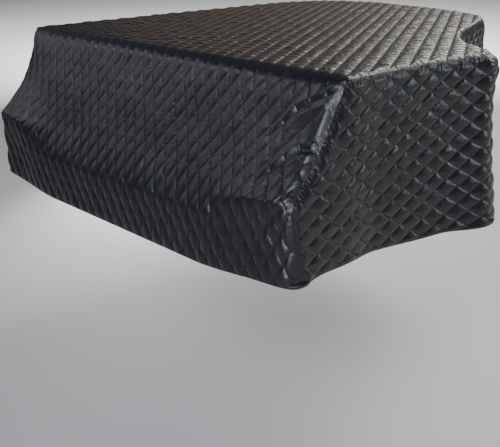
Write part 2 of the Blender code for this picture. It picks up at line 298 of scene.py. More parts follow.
def sheet_outline():
    """The cut edge of the big sheet: its sewn sides from the front round the tail, and its hem."""
    corner_hem = front_hem(np.array([-SEAM_X, SEAM_X]))
    up = np.linspace(corner_hem[1], LID_FRONT, CHEEK_POINTS)[:-1]
    treble = np.stack([side_x(up, treble_line, 1), up], axis=1)
    lid = np.vstack([treble_line[::-1, :2], tail_line[1:, :2], bass_line[1:, :2]])
    down = np.linspace(LID_FRONT, corner_hem[0], CHEEK_POINTS)[1:]
    bass = np.stack([side_x(down, bass_line, -1), down], axis=1)
    sewn = np.vstack([treble, lid, bass])
    hem_x = np.linspace(bass[-1, 0], treble[0, 0], FRONT_HEM_POINTS)
    return sewn, np.stack([hem_x, front_hem(hem_x)], axis=1)


# Seams: the cloth turned in behind them, the width over which the cloth is drawn onto their
# line, how near a point counts as on it, and how finely lines are followed.
SEAM_ALLOWANCE = 0.006
SEAM_REACH = 0.02
ON_SEAM = 0.0003
SEAM_SPACING = 0.002
BORDER_SPACING = 0.0005
COVER_MIDDLE = Vector((0.0, 0.0, -0.25))

# A corner seam, and the column of the fine table that it begins at.
Cheek = namedtuple("Cheek", "line radius edge edge_runs edge_spots")
CHEEK_COLUMN = 60


def even_points(line, spacing):
    """Points on a line, a spacing apart."""
    runs = run_lengths(line)
    return read_rows(np.append(np.arange(0.0, runs[-1], spacing), runs[-1]), runs, line)


def nearest_of(points, spots):
    """For each flat spot, the number of the nearest of some flat points."""
    tree = kdtree.KDTree(len(points))
    for number, (a, b) in enumerate(points):
        tree.insert((a, b, 0.0), number)
    tree.balance()
    return np.array([tree.find((a, b, 0.0))[1] for a, b in spots])


def nearest_on(line, spots):
    """For each flat spot, its distance to a line and how far along the line it is."""
    fine = even_points(line, SEAM_SPACING)
    nearest = nearest_of(fine, spots)
    runs = run_lengths(fine)
    off, along = np.full(len(nearest), np.inf), np.zeros(len(nearest))
    for start in (np.maximum(nearest - 1, 0), np.minimum(nearest, len(fine) - 2)):
        step = fine[start + 1] - fine[start]
        share = ((spots - fine[start]) * step).sum(axis=1) / (step**2).sum(axis=1)
        share = np.clip(share, 0.0, 1.0)
        distance = np.linalg.norm(fine[start] + step * share[:, None] - spots, axis=1)
        run = runs[start] + share * (runs[start + 1] - runs[start])
        along = np.where(distance < off, run, along)
        off = np.minimum(off, distance)
    return off, along


def cheek_seam(side):
    """The seam down one cheek, in front of the lid.

    Line is the sharp corner in the side band's own plane, as distance behind the lid's corner
    and drop, and radius is the corner's round at each of its points. Edge is the sewn edge
    beside it, with its runs of cloth down the front and its points in space.
    """
    row = -1 if side > 0 else 0
    end = np.searchsorted(cloth_runs, hem_runs[row])
    runs = np.append(cloth_runs[:end], hem_runs[row])[CHEEK_COLUMN:]
    x = np.full(len(runs), side * SEAM_X)
    behind = from_profiles(profile_back, x, runs) - LID_FRONT
    line = np.stack([behind, from_profiles(profile_drop, x, runs)], axis=1)
    angle, radius = seam_turn(PROFILE_START - runs)
    way = np.gradient(line, axis=0)
    way /= np.linalg.norm(way, axis=1)[:, None]
    inset = radius * (1.0 - np.cos(angle))
    edge = line + np.stack([way[:, 1], -way[:, 0]], axis=1) * inset[:, None]
    # Where the line bends sharply, the edge would fold back over itself: those points go.
    clear = nearest_on(line, edge)[0] > 0.985 * inset
    edge_x = side * (SEAM_X - radius * (1.0 - np.sin(angle)))
    spots = in_space(edge_x, edge[:, 0] + LID_FRONT, edge[:, 1])
    return Cheek(line, radius, edge[clear], runs[clear], spots[clear])


def sheet_seam(sewn):
    """Where the points of the big cut's sewn edge come to lie."""
    spots = in_space(sewn[:, 0], sewn[:, 1], np.full(len(sewn), LID_ROUND))
    for cheek, side in ((treble_cheek, 1), (bass_cheek, -1)):
        ahead = (sewn[:, 1] < LID_FRONT) & (sewn[:, 0] * side > 0.0)
        runs = PROFILE_START - sewn[ahead, 1]
        spots[ahead] = read_rows(runs, cheek.edge_runs, cheek.edge_spots)
    return spots


def stitch_lines(short_way, long_way):
    """Place among the two families of stitch lines, which lie at the whole numbers."""
    across, up = short_way / DIAMOND_SHORT, long_way / DIAMOND_LONG
    return across + up, across - up


# How near a point counts as on a stitch line, as a share of a face.
ON_STITCH = 0.2


def cut_cloth(fineness, threads, place_of, inside, sewn, hem):
    """A flat cut of cloth in its own plane, as a bmesh whose points follow the stitch lines.

    Fineness is the number of faces along a side of a diamond. Threads gives the short and the
    long way of the cloth at a place, and place_of the place for them. Along the sewn edge the
    cloth has an allowance, which is kept below the plane here and turned in later.
    """
    edge_line = np.vstack([sewn, hem])
    ends = np.array(stitch_lines(*threads(edge_line[:, 0], edge_line[:, 1])))
    first = np.floor(ends.min(axis=1)) - 1
    count = (np.ceil(ends.max(axis=1)) + 1 - first).astype(int)
    cloth = bmesh.new()
    bmesh.ops.create_grid(
        cloth, x_segments=count[0] * fineness, y_segments=count[1] * fineness, size=1.0
    )
    lines = (np.array([vert.co[:2] for vert in cloth.verts]) + 1.0) / 2.0 * count + first
    short_way = (lines[:, 0] + lines[:, 1]) / 2.0 * DIAMOND_SHORT
    long_way = (lines[:, 0] - lines[:, 1]) / 2.0 * DIAMOND_LONG
    for vert, spot in zip(cloth.verts, place_of(short_way, long_way)):
        vert.co.xy = spot
    on_stitch = np.abs(lines - np.round(lines)) < ON_STITCH / fineness
    for edge in cloth.edges:
        a, b = (vert.index for vert in edge.verts)
        edge.smooth = not (on_stitch[a] & on_stitch[b]).any()
    centres = np.array([face.calc_center_median()[:2] for face in cloth.faces])
    kept = inside(centres[:, 0], centres[:, 1])
    waste = [face for face, keep in zip(cloth.faces, kept) if not keep]
    bmesh.ops.delete(cloth, geom=waste, context="FACES")
    border = [vert for vert in cloth.verts if vert.is_boundary]
    fine = even_points(edge_line, BORDER_SPACING)
    for vert in border:
        vert.co.xy = fine[np.hypot(fine[:, 0] - vert.co.x, fine[:, 1] - vert.co.y).argmin()]
    for corner in (sewn[0], sewn[-1]):
        nearest = min(border, key=lambda vert: math.dist(vert.co.xy, corner))
        nearest.co.xy = corner
    second_row = {edge.other_vert(vert) for vert in border for edge in vert.link_edges}
    second_row -= set(border)
    bmesh.ops.smooth_vert(
        cloth, verts=list(second_row), factor=0.5, use_axis_x=True, use_axis_y=True
    )
    gap = nearest_on(sewn, np.array([vert.co[:2] for vert in border]))[0]
    held = {vert for vert, off in zip(border, gap) if off < ON_SEAM}
    seam_edges = [edge for edge in cloth.edges if edge.is_boundary and held.issuperset(edge.verts)]
    for edge in seam_edges:
        edge.smooth = False
    turned = bmesh.ops.extrude_edge_only(cloth, edges=seam_edges)
    for vert in turned["geom"]:
        if isinstance(vert, bmesh.types.BMVert):
            vert.co.z = -SEAM_ALLOWANCE
    return cloth


def cut_layers(fineness, *cut):
    """The face and, behind it, the coarser backing: each cloth with its depth."""
    depths = 0.0, CLOTH_THICKNESS
    return [(cut_cloth(faces, *cut), depth) for faces, depth in zip(fineness, depths)]


# Puffs: how round a soft one is, the thinnest wadding at a stitch line, how unlike each other
# they are, and the multipliers that spread their fullness and lean without a pattern.
PUFF_POWER = 0.75
PUFF_LEAST = 0.001
PUFF_UNEVEN = 0.5
PUFF_SPREADS = ((12.9898, 78.233), (39.346, 11.135), (73.156, 52.235))
PUFF_SPREAD_SIZE = 43758.5453

# Slow waves of slack cloth, and how high they reach where several meet.
SLACK_WAVES = (
    # waves across, waves along, phase
    (1.00, 0.31, 0.4),
    (-0.57, 0.92, 1.7),
    (0.23, -1.24, 2.9),
    (1.61, 0.74, 4.1),
    (-1.37, 1.45, 5.3),
    (0.66, 2.03, 0.9),
)
SLACK_PEAK = 3.2

# The backing is flatter than the face.
BACKING_SHARE = 0.4


def puffs(short_way, long_way, hips):
    """Height of the wadding between the stitch lines, as a share of a full puff.

    Hips goes from 0 for soft round puffs to 1 for tight ones, flat above and steep at the seams.
    """
    first, second = stitch_lines(short_way, long_way)
    shares = first - np.floor(first), second - np.floor(second)
    arches = [np.maximum(4.0 * share * (1.0 - share), PUFF_LEAST) for share in shares]
    tight = np.sqrt(2.0 / (arches[0] ** -2 + arches[1] ** -2))
    pillow = (arches[0] * arches[1]) ** PUFF_POWER * (1.0 - hips) + tight * hips
    chance = [
        np.sin(np.floor(first) * a + np.floor(second) * b) * PUFF_SPREAD_SIZE
        for a, b in PUFF_SPREADS
    ]
    fullness, *leans = (number - np.floor(number) - 0.5 for number in chance)
    uneven = 1.0 + PUFF_UNEVEN * fullness
    for lean, share in zip(leans, shares):
        uneven = uneven + lean * (share - 0.5)
    return pillow * uneven


def lumps(a, b, size):
    """Slow uneven waves of slack cloth, from about -1 to 1."""
    total = 0.0
    for times_a, times_b, phase in SLACK_WAVES:
        total = total + np.sin(2.0 * math.pi * (a * times_a + b * times_b) / size + phase)
    return total / SLACK_PEAK


def put_up(name, shape, *materials):
    """Make an object of a finished bmesh."""
    mesh = bpy.data.meshes.new(name)
    shape.to_mesh(mesh)
    shape.free()
    mesh.shade_smooth()
    for material in materials:
        mesh.materials.append(material)
    piece = bpy.data.objects.new(name, mesh)
    bpy.context.collection.objects.link(piece)
    return piece


def hang_cloth(name, layers, materials, threads, place, height, sink, slack, seams, seam_curve):
    """Make one panel: the satin face and the backing behind it, as one sheet.

    Place lays the flat cut out in space, height raises its face and sink turns it in beside
    the seams. Its sewn edge is then drawn onto the seam's curve, point for point, so that
    neighbouring panels meet there.
    """
    panel = bmesh.new()
    drawn = None
    for cloth, depth in layers:
        mesh = bpy.data.meshes.new(name)
        cloth.to_mesh(mesh)
        cloth.free()
        flat = np.array([vert.co for vert in mesh.vertices])
        flat, turned_in = flat[:, :2], -flat[:, 2]
        spots = place(flat[:, 0], flat[:, 1])
        mesh.vertices.foreach_set("co", spots.ravel())
        outwards = sum(face.normal.dot(face.center - COVER_MIDDLE) for face in mesh.polygons)
        if outwards < 0.0:
            mesh.flip_normals()
        mesh.update()
        normals = np.array([normal.vector for normal in mesh.vertex_normals])
        face, allowance = np.flatnonzero(turned_in == 0.0), np.flatnonzero(turned_in > 0.0)
        normals[allowance] = normals[face[nearest_of(flat[face], flat[allowance])]]
        gap, along = nearest_on(seams, flat)
        rise = height(flat[:, 0], flat[:, 1], gap) * (BACKING_SHARE if depth else 1.0)
        moved = spots + normals * (rise - sink(flat[:, 0], flat[:, 1], gap) - depth)[:, None]
        if drawn is None:
            held = np.flatnonzero((gap < ON_SEAM) & (turned_in == 0.0))
            held = held[np.argsort(along[held])]
            target = read_rows(along[held], run_lengths(seams), seam_curve)
            drawn = along[held], target - moved[held]
        draw = read_rows(along, *drawn)
        moved += draw * (1.0 - ease(gap, 0.0, SEAM_REACH))[:, None]
        inwards = np.array(COVER_MIDDLE) - moved
        inwards /= np.linalg.norm(inwards, axis=1)[:, None]
        moved += inwards * turned_in[:, None]
        mesh.vertices.foreach_set("co", moved.ravel())
        owner = np.array([loop.vertex_index for loop in mesh.loops])
        maps = (
            ("cloth", threads(flat[:, 0], flat[:, 1])),
            ("seam", (along, gap)),
            ("slack", slack(flat[:, 0], flat[:, 1])),
        )
        for map_name, pair in maps:
            uv = mesh.uv_layers.new(name=map_name)
            uv.data.foreach_set("uv", np.stack(pair, axis=1)[owner].ravel())
        if depth:
            mesh.flip_normals()
            mesh.polygons.foreach_set("material_index", np.ones(len(mesh.polygons), np.int32))
        panel.from_mesh(mesh)
        bpy.data.meshes.remove(mesh)
    return put_up(name, panel, *materials)


# Relief of the weave and of the small wrinkles that sewing leaves, in metres from low to high.
PUCKER_DEPTH = {
    "stitch": 0.0016, "rumple": 0.0009, "groove": 0.0002, "gather": 0.0034,
    "weave": 0.00003, "knit": 0.0004,
}
THREAD_BLACK = (0.006, 0.006, 0.007)


class Recipe:
    """A short way to lay out and join the nodes of one material."""

    def __init__(self, name):
        self.material = bpy.data.materials.new(name)
        self.material.use_nodes = True
        self.tree = self.material.node_tree
        self.shader = self.tree.nodes["Principled BSDF"]

    def node(self, kind, **settings):
        made = self.tree.nodes.new(kind)
        for key, value in settings.items():
            setattr(made, key, value)
        return made

    def feed(self, sockets, values):
        """Set each socket to its number or colour, or join it to another node."""
        for socket, value in zip(sockets, values):
            if isinstance(value, (int, float)):
                socket.default_value = value
            elif isinstance(value, tuple):
                socket.default_value = (*value, 1.0)
            else:
                self.tree.links.new(value, socket)

    def math(self, operation, *values):
        made = self.node("ShaderNodeMath", operation=operation)
        self.feed(made.inputs, values)
        return made.outputs[0]

    def times(self, *values):
        return self.math("MULTIPLY", *values)

    def ease(self, value, low, high, start=0.0, end=1.0):
        made = self.node("ShaderNodeMapRange", interpolation_type="SMOOTHSTEP")
        keys = "Value", "From Min", "From Max", "To Min", "To Max"
        self.feed([made.inputs[key] for key in keys], (value, low, high, start, end))
        return made.outputs["Result"]

    def noise(self, x, y, per_metre, detail, start=0.0):
        """Uneven values from about 0 to 1, with so many waves a metre along x and y."""
        at = self.node("ShaderNodeCombineXYZ")
        self.feed(at.inputs, (self.times(x, per_metre[0]), self.times(y, per_metre[1]), start))
        made = self.node("ShaderNodeTexNoise")
        keys = "Vector", "Scale", "Detail"
        self.feed([made.inputs[key] for key in keys], (at.outputs[0], 1.0, detail))
        return made.outputs[0]

    def map(self, name):
        """The two coordinates of one of the cloth's maps."""
        made = self.node("ShaderNodeUVMap", uv_map=name)
        split = self.node("ShaderNodeSeparateXYZ")
        self.feed(split.inputs, [made.outputs["UV"]])
        return split.outputs[0], split.outputs[1]

    def blend(self, share, low, high):
        """From one colour to another."""
        made = self.node("ShaderNodeMix", data_type="RGBA")
        colours = [socket for socket in made.inputs if socket.type == "RGBA"]
        self.feed([made.inputs["Factor"], *colours], (share, low, high))
        return next(socket for socket in made.outputs if socket.type == "RGBA")

    def relief(self, height, distance=1.0):
        """The surface's normal with small relief on it."""
        made = self.node("ShaderNodeBump")
        self.feed([made.inputs["Distance"], made.inputs["Height"]], (distance, height))
        return made.outputs[0]

    def finish(self, **values):
        """Give the shader its values, and return the material."""
        sockets = [self.shader.inputs[key.replace("_", " ")] for key in values]
        self.feed(sockets, values.values())
        return self.material


def quilted_satin(name, colour, roughness):
    """Black satin with stitch lines, the small puckers beside them and gathers at the seams."""
    satin = Recipe(name)
    short_way, long_way = satin.map("cloth")
    along_seam, from_seam = satin.map("seam")
    slack, gathered = satin.map("slack")

    # The cloth between the stitches is a little rumpled, and puckered along them.
    rumple = satin.noise(short_way, long_way, (75.0, 45.0), detail=2.0, start=3.1)
    height = satin.times(PUCKER_DEPTH["rumple"], rumple)
    across = satin.math("DIVIDE", short_way, DIAMOND_SHORT)
    up = satin.math("DIVIDE", long_way, DIAMOND_LONG)
    pitch = 1.0 / math.hypot(1.0 / DIAMOND_SHORT, 1.0 / DIAMOND_LONG)
    run_short = satin.times(short_way, pitch / DIAMOND_LONG)
    run_long = satin.times(long_way, pitch / DIAMOND_SHORT)
    gaps = []
    for line_way, run_way, start in (("ADD", "SUBTRACT", 0.0), ("SUBTRACT", "ADD", 7.3)):
        line = satin.math(line_way, across, up)
        gap = satin.times(satin.math("PINGPONG", line, 0.5), pitch)
        run = satin.math(run_way, run_short, run_long)
        pucker = satin.noise(run, line, (95.0, 2.2), detail=1.5, start=start)
        pucker = satin.times(satin.math("SUBTRACT", pucker, 0.5), PUCKER_DEPTH["stitch"])
        pucker = satin.times(pucker, satin.ease(gap, 0.019, 0.002))
        height = satin.math("ADD", height, pucker)
        gaps.append(gap)
    height = satin.times(height, slack)
    nearest = satin.math("MINIMUM", *gaps)
    groove = satin.ease(nearest, 0.0, 0.0028, -PUCKER_DEPTH["groove"], 0.0)
    height = satin.math("ADD", height, satin.times(groove, slack))

    # Beside a seam it is gathered, in folds that lean away from the seam.
    leaning = satin.math("ADD", along_seam, satin.times(from_seam, 0.35))
    gather = satin.noise(leaning, from_seam, (120.0, 24.0), detail=1.0, start=9.7)
    gather = satin.times(satin.math("SUBTRACT", gather, 0.5), PUCKER_DEPTH["gather"])
    gather = satin.times(gather, satin.ease(from_seam, 0.040, 0.006))
    gather = satin.times(gather, satin.ease(from_seam, 0.0, 0.005, 0.25, 1.0))
    height = satin.math("ADD", height, satin.times(gather, gathered))

    weave = satin.noise(short_way, long_way, (2600.0, 700.0), detail=1.0)
    height = satin.math("ADD", height, satin.times(weave, PUCKER_DEPTH["weave"]))

    # Satin uneven in shade and gloss, and black thread in the stitch lines.
    shade = satin.noise(short_way, long_way, (9.0, 7.0), detail=3.0, start=1.7)
    tone = satin.blend(shade, tuple(0.8 * c for c in colour), tuple(1.2 * c for c in colour))
    return satin.finish(
        Base_Color=satin.blend(satin.ease(nearest, 0.0003, 0.0008), THREAD_BLACK, tone),
        Roughness=satin.math("ADD", roughness, satin.times(shade, 0.10)),
        Normal=satin.relief(height),
        Specular_IOR_Level=0.5, Sheen_Weight=0.05, Sheen_Roughness=0.4,
        Sheen_Tint=(0.75, 0.80, 1.0),
    )


def plain_backing(name):
    """The matt knitted backing inside the cover."""
    backing = Recipe(name)
    short_way, long_way = backing.map("cloth")
    knit = backing.noise(short_way, long_way, (900.0, 1400.0), detail=2.0)
    return backing.finish(
        Base_Color=backing.blend(knit, (0.012, 0.012, 0.014), (0.034, 0.034, 0.038)),
        Normal=backing.relief(knit, PUCKER_DEPTH["knit"]),
        Roughness=0.85, Specular_IOR_Level=0.2,
    )


# Creases pulled across the front from the treble corner, each a valley with a low ridge along
# both sides. They deepen over a short start, and end well inside their widest reach.
CREASES = (
    # half width, depth, and points as x and cloth below the lid's front edge
    (0.0075, 0.0045, (0.748, 0.012), (0.724, 0.043), (0.694, 0.063), (0.647, 0.093),
     (0.594, 0.167), (0.556, 0.200)),
    (0.0075, 0.0050, (0.739, 0.180), (0.692, 0.187), (0.660, 0.229), (0.625, 0.267),
     (0.581, 0.326)),
    (0.0070, 0.0045, (0.748, 0.310), (0.724, 0.335), (0.689, 0.372), (0.652, 0.420),
     (0.595, 0.495)),
)
CREASE_START = 0.02
CREASE_WIDEST = 0.04

# Where the cloth is tight: over the lid's front edge, and in a patch beside the treble corner,
# as x and cloth below that edge. The slanting seams are gathered less than the lid's.
LID_BEND, LID_BEND_HALF, LID_BEND_TIGHT = 0.194, 0.020, 0.9
TIGHT_PATCH, TIGHT_PATCH_HALF, PATCH_TIGHT = (0.700, 0.115), (0.045, 0.080), 0.65
CHEEK_GATHERS = 0.3

# Height of a full puff on the lid, how much less it is on the slope and how much more again
# on the lower front, and how tight the puffs are; then the slow waves on the front. Slope and
# lower front begin over so much cloth below the lid's front edge.
STITCH_SINK = 0.0008
PUFF_LID, PUFF_SLOPE_LESS, PUFF_LOWER_MORE = 0.0042, 0.0020, 0.0032
HIPS_LID, HIPS_MORE = 0.35, 0.25
WAVE_HEIGHT, WAVE_SIZE = 0.0016, 0.31
SLOPE_FADE = (-0.02, 0.06)
LOWER_FADE = (0.28, 0.38)

# How far from a seam or the hem the puffs reach their full height.
SEAM_RISE = 0.012
HEM_RISE = 0.010


def rounded(gap, radius):
    """How deep a round of that radius turns in at a distance from the sharp edge."""
    inset = radius - np.clip(gap, 0.0, radius)
    return radius - np.sqrt(radius**2 - inset**2)


def sheet_sink(x, back, gap):
    """How deep the big cut turns in beside its sewn edge."""
    radius = seam_turn(back)[1]
    return rounded(np.where(back < LID_FRONT, SEAM_X - np.abs(x), gap), radius)


def sheet_threads(x, back):
    """Short and long way of the cloth at a place on the big cut."""
    pull = np.array(SHEET_PULL)
    sideways, lengthways = read_rows(back, pull[:, 0], pull[:, 1:]).T
    return x + sideways, back + lengthways + SHEET_LEAN * x


def sheet_spot(short_way, long_way):
    """The place on the big cut of a point of its quilting."""
    spot = np.stack([short_way, long_way], axis=1)
    for _ in range(8):
        short_now, long_now = sheet_threads(spot[:, 0], spot[:, 1])
        spot += np.stack([short_way - short_now, long_way - long_now], axis=1)
    return spot


def sheet_slack(x, back):
    """How loose the big cut lies, and how much its sewn edge is gathered.

    It is drawn tight over the lid's front edge and beside the treble corner.
    """
    edge = 1.0 - LID_BEND_TIGHT * np.exp(-(((back - LID_BEND) / LID_BEND_HALF) ** 2))
    (patch_x, patch_below), (half_x, half_below) = TIGHT_PATCH, TIGHT_PATCH_HALF
    off = np.hypot((x - patch_x) / half_x, (LID_FRONT - back - patch_below) / half_below)
    slack = edge * (1.0 - PATCH_TIGHT * np.exp(-(off**2)))
    on_lid = ease(back, LID_FRONT - 0.03, LID_FRONT + 0.03)
    return slack, CHEEK_GATHERS + (1.0 - CHEEK_GATHERS) * on_lid


def sheet_height(x, back, gap):
    """How far the face of the big cut stands out from its plain surface."""
    below = LID_FRONT - back
    on_front, on_lower = ease(below, *SLOPE_FADE), ease(below, *LOWER_FADE)
    full = PUFF_LID - PUFF_SLOPE_LESS * on_front + PUFF_LOWER_MORE * on_lower
    hips = HIPS_LID + HIPS_MORE * on_front + HIPS_MORE * on_lower
    rise = full * puffs(*sheet_threads(x, back), hips) - STITCH_SINK
    rise = rise + WAVE_HEIGHT * on_front * lumps(x, back, WAVE_SIZE)
    for half_width, depth, *points in CREASES:
        line = np.array(points)
        reach = (x > line[:, 0].min() - CREASE_WIDEST) & (below > line[0, 1] - CREASE_WIDEST)
        reach &= below < line[-1, 1] + CREASE_WIDEST
        off, run = nearest_on(line, np.stack([x[reach], below[reach]], axis=1))
        length = run_lengths(line)[-1]
        fade = ease(run, 0.0, CREASE_START) * (1.0 - ease(run, 0.6 * length, length))
        fold = np.exp(-((off / half_width) ** 2)) - 0.5 * np.exp(-((off / half_width - 1.9) ** 2))
        rise[reach] -= depth * fade * fold
    hem_gap = back - front_hem(x)
    slack = sheet_slack(x, back)[0]
    return rise * ease(gap, 0.0, SEAM_RISE) * ease(hem_gap, 0.0, HEM_RISE) * slack


# Faces along a side of a diamond, of the satin and of the backing.
SHEET_FINENESS = (8, 3)

sewn_edge, front_hem_edge = sheet_outline()
treble_cheek, bass_cheek = cheek_seam(1), cheek_seam(-1)
backing_cloth = plain_backing("black_knit_backing")
# The big cut's satin is a little bluer than the bands'. That extra blue is painted reflection of
# the cool light falling on the front slope, over the satin's own dark navy.
sheet_satin = quilted_satin("black_quilted_satin", (0.009, 0.010, 0.014), roughness=0.28)
sheet_layers = cut_layers(
    SHEET_FINENESS, sheet_threads, sheet_spot, inside_sheet, sewn_edge, front_hem_edge
)
top_front = hang_cloth(
    "top_front_quilt", sheet_layers, (sheet_satin, backing_cloth), sheet_threads,
    sheet_place, sheet_height, sheet_sink, sheet_slack, sewn_edge, sheet_seam(sewn_edge),
)
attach(top_front, "root")
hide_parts("top_front_panel")


# Side bands: three cuts of the same quilted satin with the diamonds lying down, sewn to the
# lid's outline and down the slanting corners, and hanging straight to the hem. They stand out
# a little under the lid's edge and end in soft waves.

# The shoulder's height as a share of the drop, how sharply flare and folds grow to the hem,
# and how far from a corner seam the band is free to stand out.
SHOULDER_SHARE = 0.07
FLARE_GROWTH = 1.2
FOLD_GROWTH = 1.5
CORNER_FREE = 0.05

# The lid's part of a sewn edge starts this far behind the corner, and a band reaches this far
# in front of it.
CHEEK_END = 0.03
CHEEK_REACH = 0.16

# Fineness, puffs and waves of the bands, as on the big cut.
BAND_FINENESS = (14, 5)
BAND_PUFF, BAND_HIPS, BAND_STITCH_SINK = 0.0047, 0.85, 0.0010
BAND_WAVE_HEIGHT, BAND_WAVE_SIZE = 0.0020, 0.29
BAND_SEAM_RISE = 0.024

HANGING_FOLDS = (
    # along, half width, how far it stands out at the hem
    (0.13, 0.060, -0.005),
    (0.33, 0.070, 0.004),
    (0.62, 0.040, 0.010),
    (0.80, 0.055, -0.009),
    (0.98, 0.060, 0.008),
    (1.16, 0.055, -0.007),
    (1.40, 0.055, 0.009),
    (1.66, 0.060, -0.006),
    (1.88, 0.060, 0.007),
    (2.10, 0.060, -0.006),
    (2.34, 0.055, 0.008),
    (2.62, 0.070, -0.006),
    (2.92, 0.070, 0.006),
    (3.22, 0.070, -0.005),
    (3.50, 0.060, 0.004),
)

# The line the bands hang from: both cheeks in front of the lid, and the lid's outline between.
# The way outwards from it is taken over a few neighbouring points, so that it turns evenly.
BAND_POINTS = 900
HEADING_SPREAD = 6
lid_ring = np.vstack([treble_line[::-1], tail_line[1:], bass_line[1:]])
ring = np.vstack([[SEAM_X, 0.0, *lid_ring[0, 2:]], lid_ring, [-SEAM_X, 0.0, *lid_ring[-1, 2:]]])
ring_along = run_lengths(ring[:, :2]) - math.dist(ring[0, :2], ring[1, :2])
treble_end = run_lengths(treble_line[:, :2])[-1]
tail_end = treble_end + run_lengths(tail_line[:, :2])[-1]
ring_end = ring_along[-2]
even_along = np.linspace(ring_along[0], ring_along[-1], BAND_POINTS)
heading = np.gradient(read_rows(even_along, ring_along, ring[:, :2]), axis=0)
padded = np.pad(heading, ((HEADING_SPREAD, HEADING_SPREAD), (0, 0)), "edge")
window = np.ones(2 * HEADING_SPREAD + 1) / (2 * HEADING_SPREAD + 1)
heading = np.stack([np.convolve(column, window, "valid") for column in padded.T], axis=1)
heading /= np.linalg.norm(heading, axis=1)[:, None]
ring_out = np.stack([heading[:, 1], -heading[:, 0]], axis=1)


def band_hem(along):
    """Drop of the side band's hem."""
    drop = np.interp(along, ring_along, ring[:, 4])
    for corner, start, turn in ((treble_cheek, 0.0, -1.0), (bass_cheek, ring_end, 1.0)):
        end_behind, end_drop = corner.line[-1]
        ahead = np.clip((along - start) * turn / -end_behind, 0.0, 1.0)
        lid_hem = np.interp(start, ring_along, ring[:, 4])
        drop = drop + (end_drop - lid_hem) * ahead**3
    return drop


def band_place(along, drop):
    """Where a point of the side bands hangs."""
    x, back, shoulder, flare = read_rows(along, ring_along, ring[:, :4]).T
    out_x, out_y = read_rows(along, even_along, ring_out).T
    upper = np.full(len(along), LID_ROUND)
    open_way = np.ones(len(along))
    for corner, behind in ((treble_cheek, along), (bass_cheek, ring_end - along)):
        line_behind, line_drop = corner.line.T
        slope = line_behind > line_behind.min() + 1e-4
        slope &= np.arange(len(slope)) < line_behind.argmin()
        slope_behind, slope_drop = corner.line[slope][::-1].T
        upper = np.maximum(upper, np.interp(behind, slope_behind, slope_drop, right=0.0))
        seam_at = np.interp(drop, line_drop, line_behind)
        open_way = open_way * ease(behind - seam_at, 0.0, CORNER_FREE)
    share = np.clip((drop - upper) / (band_hem(along) - upper), 0.0, 1.05)
    fold = np.zeros(len(along))
    for centre, half_width, stand in HANGING_FOLDS:
        fold += stand * np.exp(-(((along - centre) / half_width) ** 2))
    push = shoulder * share / SHOULDER_SHARE * np.exp(1.0 - share / SHOULDER_SHARE)
    push = (push + flare * share**FLARE_GROWTH + fold * share**FOLD_GROWTH) * open_way
    return in_space(x + push * out_x, back + push * out_y, drop)


def band_height(along, drop, gap, threads):
    """How far the face of a side band stands out from its plain surface."""
    rise = BAND_PUFF * puffs(*threads, BAND_HIPS) - BAND_STITCH_SINK
    rise = rise + BAND_WAVE_HEIGHT * lumps(along, drop, BAND_WAVE_SIZE)
    hem_gap = band_hem(along) - drop
    return rise * ease(gap, 0.0, BAND_SEAM_RISE) * ease(hem_gap, 0.0, HEM_RISE)


def band_slack(a, drop):
    """How loose a side band hangs, and how much its sewn edge is gathered."""
    return np.ones(len(a)), CHEEK_GATHERS + (1.0 - CHEEK_GATHERS) * ease(a, -0.02, 0.04)


DOWN_SEAM_POINTS = 300


def side_band(name, node, start, end, corner, thread_ways):
    """Cut and hang one side band, from one place along the lid's outline to another.

    In its own plane a is the distance behind the front corner it is sewn to, or the place along
    the outline where it has none. Thread_ways gives the cloth's short and long way there, each
    as so much drop, so much a and a shift.
    """
    turn = -1.0 if corner is bass_cheek else 1.0
    origin = ring_end if corner is bass_cheek else 0.0
    low_a, high_a = sorted(((start - origin) * turn, (end - origin) * turn))
    thread_ways = np.array(thread_ways)

    def along(a):
        return origin + turn * a

    def threads(a, drop):
        return thread_ways @ np.stack([drop, a, np.ones(len(a))])

    def spot(short_way, long_way):
        shifted = np.stack([short_way, long_way]) - thread_ways[:, 2:]
        return (np.linalg.inv(thread_ways[:, :2]) @ shifted)[::-1].T

    def down_to_hem(a):
        drops = np.linspace(LID_ROUND, band_hem(along(a)), DOWN_SEAM_POINTS)
        return np.stack([np.full(len(drops), a), drops], axis=1)

    lid_a = np.arange(low_a if corner is None else CHEEK_END, high_a, SEAM_SPACING)[1:]
    lid_edge = np.stack([lid_a, np.full(len(lid_a), LID_ROUND)], axis=1)
    sewn = np.vstack([lid_edge, down_to_hem(high_a)])
    if corner is None:
        sewn = np.vstack([down_to_hem(low_a)[::-1], sewn])
    panel_seam = band_place(along(sewn[:, 0]), sewn[:, 1])
    if corner is not None:
        ahead = corner.edge[:, 0] < CHEEK_END
        sewn = np.vstack([corner.edge[ahead][::-1], sewn])
        panel_seam = np.vstack([corner.edge_spots[ahead][::-1], panel_seam])
    hem_a = np.linspace(high_a, sewn[0, 0], BAND_POINTS)[1:-1]
    hem = np.stack([hem_a, band_hem(along(hem_a))], axis=1)

    def inside(a, drop):
        kept = (a < high_a) & (drop > LID_ROUND) & (drop < band_hem(along(a)))
        if corner is None:
            return kept & (a > low_a)
        return kept & (a > np.interp(drop, corner.edge[:, 1], corner.edge[:, 0]))

    def place(a, drop):
        return band_place(along(a), drop)

    def height(a, drop, gap):
        return band_height(along(a), drop, gap, threads(a, drop))

    def sink(a, drop, gap):
        deep = np.zeros(len(a))
        if corner is not None:
            near = a < CORNER_FREE
            off, run = nearest_on(corner.line, np.stack([a[near], drop[near]], axis=1))
            radius = np.interp(run, run_lengths(corner.line), corner.radius)
            deep[near] = rounded(off, radius)
        return deep

    piece = hang_cloth(
        name, cut_layers(BAND_FINENESS, threads, spot, inside, sewn, hem),
        (band_satin, backing_cloth), threads, place, height, sink, band_slack, sewn, panel_seam,
    )
    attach(piece, "root")
    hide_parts(node)


